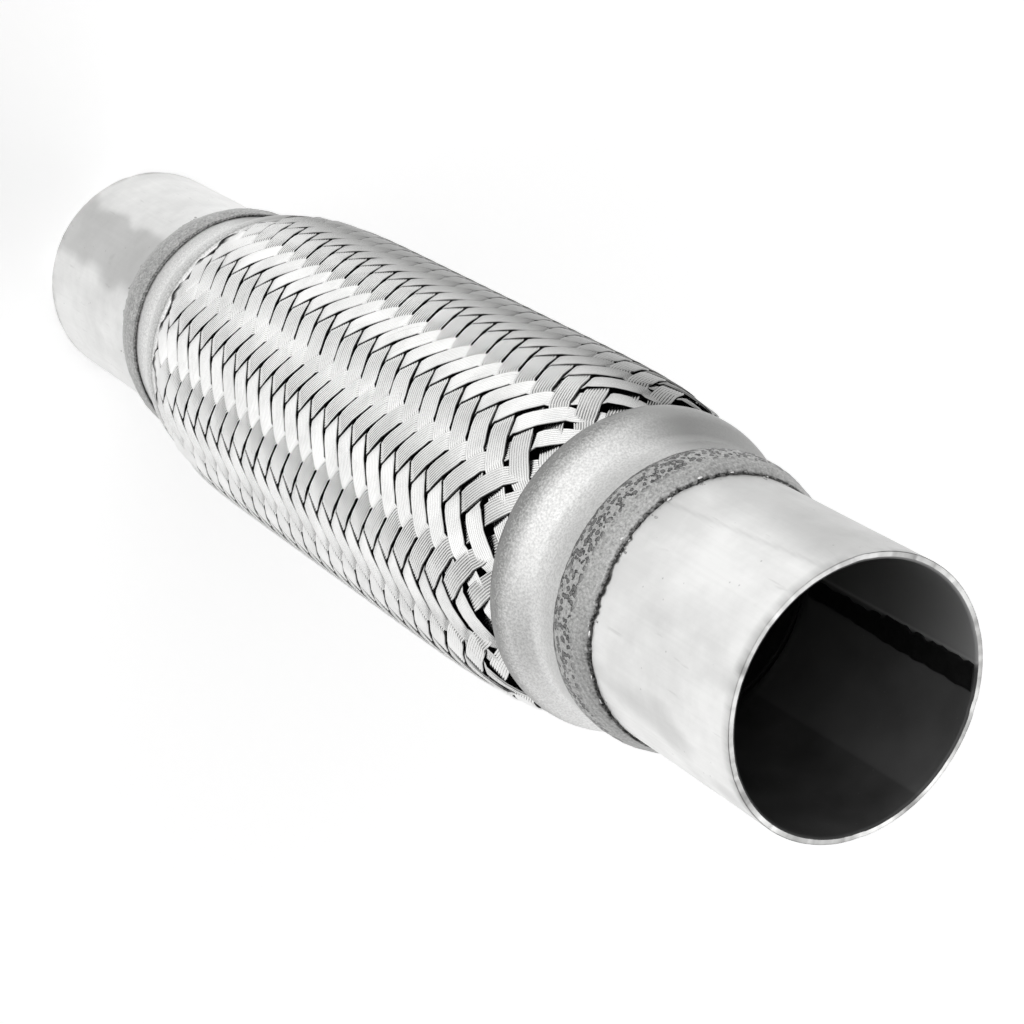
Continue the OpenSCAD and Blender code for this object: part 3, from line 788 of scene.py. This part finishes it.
def crown_radius(z):
    """Radius over the strands' tops, which tuck under the lips at both ends, with a step at the lower one."""
    low = np.clip(z - LOWER_LIP, 0, None)
    high = np.clip(UPPER_LIP - z, 0, None)
    under_lip = np.clip(LOWER_LIP - z, 0, None) + np.clip(z - UPPER_LIP, 0, None)
    swell = BRAID_R - LIP_TOP_R
    at_low = LOWER_STEP * np.exp(-low / LOWER_STEP_RUN) + (swell - LOWER_STEP) * np.exp(-low / LOWER_SWELL)
    return BRAID_R - at_low - swell * np.exp(-high / UPPER_SWELL) - TUCK_SLOPE * under_lip


def strand(lean, start, chance):
    """Points of one strand of wires that winds to the side of lean, in rows across it, with their tone and
    painted shade.
    """
    dives = np.arange(-3, ROWS + 4, 2) - 0.5 * lean
    q = (dives[:, None] + DIVE_STEPS[None, :]).reshape(-1)
    # Few rows are needed under the lips, and more where the strand steps up beside the lower one
    q = q[(q > -0.1) & (q < ROWS + 0.3)]
    scale = np.linspace(-1, 3, 400)
    step_up = np.interp(LOWER_LIP + LOWER_STEP_RUN * np.array([0, 0.6, 1.2, 2, 3]), row_height(scale), scale)
    q = np.unique(np.concatenate([[-TUCK_ROWS], step_up, q, [ROWS + TUCK_ROWS]]))
    knots = np.linspace(q[0], q[-1], STRAND_KNOTS)
    p = start + lean * q
    height = row_height(q)
    crown = crown_radius(height)
    turn = FULL_TURN * p / STEPS
    # Over two strands and under two, in step with the CAD model's ridges
    wave = np.cos(FULL_TURN / 4 * (p - 2.5)) * lean
    ride = 0.5 * np.tanh(14 * wave) + 0.5 * wave
    by_lip = np.clip(1 - (UPPER_LIP - height) / OPEN_WEAVE, 0, 1)
    face = crown - CROSS_DROP * (1 - 0.3 * by_lip) * (1 - ride) / 2
    wander = np.interp(q, knots, chance.normal(0, 0.07, STRAND_KNOTS))
    # Across the strand, in the pipe's surface and along the strands that cross it, so that it dives at
    # their edges
    arc_step = crown * np.gradient(turn, q)
    rise_step = np.gradient(height, q)
    length = np.hypot(arc_step, rise_step)
    skew = 2 * np.abs(arc_step) * rise_step / length ** 2
    across_arc = -arc_step / length / skew
    across_rise = rise_step / length / skew
    # A strand fills its share of the spacing
    wide = np.minimum(STRAND_SHARE * 2 * np.abs(arc_step) * rise_step / length, STRAND_MAX)
    wide = wide * np.interp(q, knots, chance.normal(1, 0.012, STRAND_KNOTS))
    # It is nipped where the gaps of both windings meet, most of all at a dive
    from_dive = np.abs((q + 0.5 * lean) % 2 - 1)
    nip = np.exp(-(from_dive / 0.15) ** 2) + 0.4 * np.exp(-((1 - from_dive) / 0.2) ** 2)
    wide = wide - 2 * STRAND_NIP * nip
    wire_w = chance.normal(1, 0.02, (WIRES, STRAND_KNOTS))
    wire_w = np.stack([np.interp(q, knots, w) for w in wire_w], 1)
    edges = np.concatenate([np.zeros((len(q), 1)), np.cumsum(wire_w, 1)], 1)
    edges = (edges / edges[:, -1:] - 0.5) * wide[:, None] + wander[:, None]
    valley = np.abs(chance.normal(WIRE_VALLEY, 0.02, (WIRES + 1, STRAND_KNOTS)))
    valley = np.stack([np.interp(q, knots, v) for v in valley], 1)
    # Here and there two wires stand apart
    split = np.zeros(valley.shape)
    for _ in range(SPLITS):
        middle = chance.uniform(0, ROWS)
        reach = chance.uniform(0.6, 1.4)
        split[:, chance.integers(2, WIRES - 1)] += np.exp(-((q - middle) / reach) ** 4)
    valley = np.minimum(valley + 0.04 * by_lip[:, None] + 0.08 * split, 0.39)
    columns, drops, creases, apart = [], [], [], []
    for i in range(WIRES):
        step = edges[:, i + 1] - edges[:, i]
        for share, drop in zip(WIRE_SHARES, WIRE_DROPS):
            columns.append(edges[:, i] + share * step)
            drops.append(valley[:, i] if share == 0 else np.full(len(q), drop * WIRE_VALLEY))
            creases.append(share == 0)
            apart.append(split[:, i] if share == 0 else np.zeros(len(q)))
    columns.append(edges[:, WIRES])
    drops.append(valley[:, WIRES])
    creases.append(True)
    # Underside
    for end in (WIRES, 0):
        columns.append(edges[:, end])
        drops.append(np.full(len(q), STRAND_DEEP))
        creases.append(True)
    x = np.stack(columns, 1)
    r = face[:, None] - np.stack(drops, 1)
    around = turn[:, None] + x * across_arc[:, None] / crown[:, None]
    z = height[:, None] + x * across_rise[:, None]
    points = np.stack([r * np.cos(around), r * np.sin(around), z], 2)
    tone_and_shade = np.interp(q, knots, chance.uniform(0.84, 1, STRAND_KNOTS)) * chance.uniform(0.95, 1)
    # Shade is painted on one flank by greying the tone
    tone_and_shade = tone_and_shade[:, None] * (1 - 0.85 * shaded_flank(from_front(around), -68, -36))
    # Oil and painted shade stay under the strands in the tight weave and are left off where the weave opens
    # beside the upper cap; there, shade is painted in the wire valleys instead
    tight = np.clip((UPPER_LIP - height - 9) / 16, 0, 1)
    oil_and_shade = tight * np.clip((-wave - 0.3) / 0.3, 0, 1)
    # The crevice under the lower lip is painted dark as oil and shade
    oil_and_shade = np.maximum(oil_and_shade[:, None], np.clip((LOWER_LIP + LIP_SHADE - z) / 0.5, 0, 1))
    in_valley = np.array(creases)[None, :] * 0.25 * (1 - tight[:, None])
    oil_and_shade = np.maximum(oil_and_shade, in_valley)
    # The gap where two wires stand apart is painted dark as shade
    over = len(WIRE_SHARES) * WIRES
    oil_and_shade[:, :over] = np.maximum(oil_and_shade[:, :over], np.clip(np.stack(apart, 1), 0, 1))
    # The strand's outer wires, sides and underside are painted dark as shade
    oil_and_shade[:, [1, -4]] = np.maximum(oil_and_shade[:, [1, -4]], 0.12)
    oil_and_shade[:, -2:] = 1
    oil_and_shade[:, [0, -3]] = np.maximum(oil_and_shade[:, [0, -3]], 0.3 + 0.7 * tight[:, None])
    return points, {"tone_and_shade": tone_and_shade, "oil_and_shade": oil_and_shade}, np.array(creases)


def make_braid(wire):
    """The woven sleeve: strands that wind both ways, each over two and under two, in six pieces."""
    chance = np.random.default_rng(7)
    for lean, word in ((1, "right"), (-1, "left")):
        for group in range(3):
            points, groups, painted, creases, count = [], [], [], [], 0
            for k in range(8):
                start = 2 * (8 * group + k) + 1
                one, marks, crease = strand(lean, start, chance)
                samples, columns = one.shape[:2]
                faces = grid_faces(samples, columns, False, True)
                if lean > 0:
                    faces = faces[:, ::-1]
                ring = np.arange(columns)[None, :]
                last = ring + (samples - 1) * columns
                caps = (ring, last[:, ::-1]) if lean < 0 else (ring[:, ::-1], last)
                groups.append((faces + count, 0))
                groups.extend((cap + count, 0) for cap in caps)
                points.append(one.reshape(-1, 3))
                painted.append(marks)
                creases.append(np.tile(crease, samples))
                count += samples * columns
            marks = {mark: np.concatenate([m[mark].reshape(-1) for m in painted])
                     for mark in ("tone_and_shade", "oil_and_shade")}
            piece("braid_%s_%d" % (word, group + 1), np.concatenate(points), groups, [wire], ["outer_braid"],
                  marks=marks, sharp=np.concatenate(creases))


# Liner

def make_liner(strip):
    """The strip-wound liner: each turn of the folded strip is a proud band and a sunk band."""
    pitch = (UPPER_FOOT - LOWER_TOP) / (LINER_TURNS + 0.5)
    per_turn = 48
    proud = LINER_R
    sunk = LINER_R - LINER_DEPTH + LINER_STRIP
    thin = LINER_STRIP
    fold = np.array([
        [proud, 0], [proud, pitch / 2], [sunk, pitch / 2], [sunk, pitch], [sunk - thin, pitch],
        [sunk - thin, pitch / 2 - thin], [proud - thin, pitch / 2 - thin], [proud - thin, thin],
        [sunk + 0.02, thin], [sunk + 0.02, 0]
    ])
    turn = np.linspace(0, FULL_TURN * (LINER_TURNS + 1.5), int(per_turn * (LINER_TURNS + 1.5)))[:, None]
    z = LOWER_TOP + fold[None, :, 1] + pitch * (turn / FULL_TURN - 1)
    z = np.clip(z, LOWER_TOP + 0.02, UPPER_FOOT - 0.02)
    r = np.repeat(fold[None, :, 0], len(turn), 0)
    points = np.stack([r * np.cos(turn), r * np.sin(turn), z], 2).reshape(-1, 3)
    faces = grid_faces(len(turn), len(fold), False, True)
    piece("interlock_liner_wound", points, [(faces, 0)], [strip], ["interlock_liner"],
          smooth=False)


# Light and floor

# The paper's glow beside the light that it reflects, which makes it white, and its radius in metres
PAPER_LIFT = 0.54
PAPER_R = 30
# A white panel fills the room's front; the rest of the room is dim
FRONT_WAY = (-0.14, -0.99, 0.0)
FRONT_LEVEL = 1.35
ROOM_LEVEL = 0.06


def make_floor(paper):
    corners = 96
    turn = np.linspace(0, FULL_TURN, corners, endpoint=False)
    mesh = bpy.data.meshes.new("floor")
    rim = [(PAPER_R * math.cos(a), PAPER_R * math.sin(a), 0) for a in turn]
    mesh.from_pydata(rim, [], [list(range(corners))])
    mesh.materials.append(paper)
    floor = bpy.data.objects.new("floor", mesh)
    bpy.context.scene.collection.objects.link(floor)


def make_lamp(name, place, aim, size, power):
    data = bpy.data.lights.new(name, "AREA")
    data.shape = "RECTANGLE"
    data.size, data.size_y = size
    data.energy = power
    lamp = bpy.data.objects.new(name, data)
    lamp.location = place
    lamp.rotation_euler = (Vector(aim) - Vector(place)).to_track_quat("-Z", "Y").to_euler()
    bpy.context.scene.collection.objects.link(lamp)


def light_the_studio():
    world = bpy.data.worlds.new("studio")
    bpy.context.scene.world = world
    world.use_nodes = True
    tree = world.node_tree
    tree.nodes.clear()
    way = add(tree, "TexCoord").outputs["Generated"]
    facing = add(tree, "VectorMath", {0: way, 1: FRONT_WAY}, operation="DOT_PRODUCT")
    room = add(tree, "MapRange", {"Value": facing.outputs["Value"], "From Min": 0.15, "From Max": 0.75,
                                  "To Min": ROOM_LEVEL, "To Max": FRONT_LEVEL})
    glow = add(tree, "Background", {"Color": colour("#FFFFFF"), "Strength": room.outputs[0]})
    add(tree, "OutputWorld", {"Surface": glow.outputs[0]})
    make_lamp("back_softbox", (0, 0.95, 1.45), (0, 0, 0.15), (1.2, 1.2), 8)


bpy.context.scene.view_settings.view_transform = "Standard"
make_camera()
light_the_studio()
make_floor(make_studio_paper())

aluminised = make_aluminised_steel()
shaded_bore = make_shaded_bore()
stainless = make_pressed_stainless()
weld_steel = make_weld_steel()
make_tube("upper_tube", UPPER_FOOT, OVERALL, 3, aluminised, shaded_bore, upper_marks_and_shade)
make_tube("lower_tube", LOWER_TOP, 0, 5, aluminised, shaded_bore, lower_grey_and_shade)
make_seam(make_seam_black())
make_cap("upper_cap", UPPER_NECK_EDGE, UPPER_LIP, stainless, 1.0, 1.0)
make_cap("lower_cap", LOWER_NECK_EDGE, LOWER_LIP, stainless, 0.4, 0.0)
make_weld("upper_weld", UPPER_TOE, -1, 21, weld_steel, 1.0)
make_weld("lower_weld", LOWER_TOE, 1, 31, weld_steel, 0.25)
make_spatter("upper_weld", UPPER_TOE, -1, 23, weld_steel, aluminised)
make_spatter("lower_weld", LOWER_TOE, 1, 33, weld_steel, aluminised)
make_braid(make_drawn_wire())
make_liner(make_folded_strip())
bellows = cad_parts["bellows"]
bellows.data.materials.clear()
bellows.data.materials.append(make_rolled_sheet())
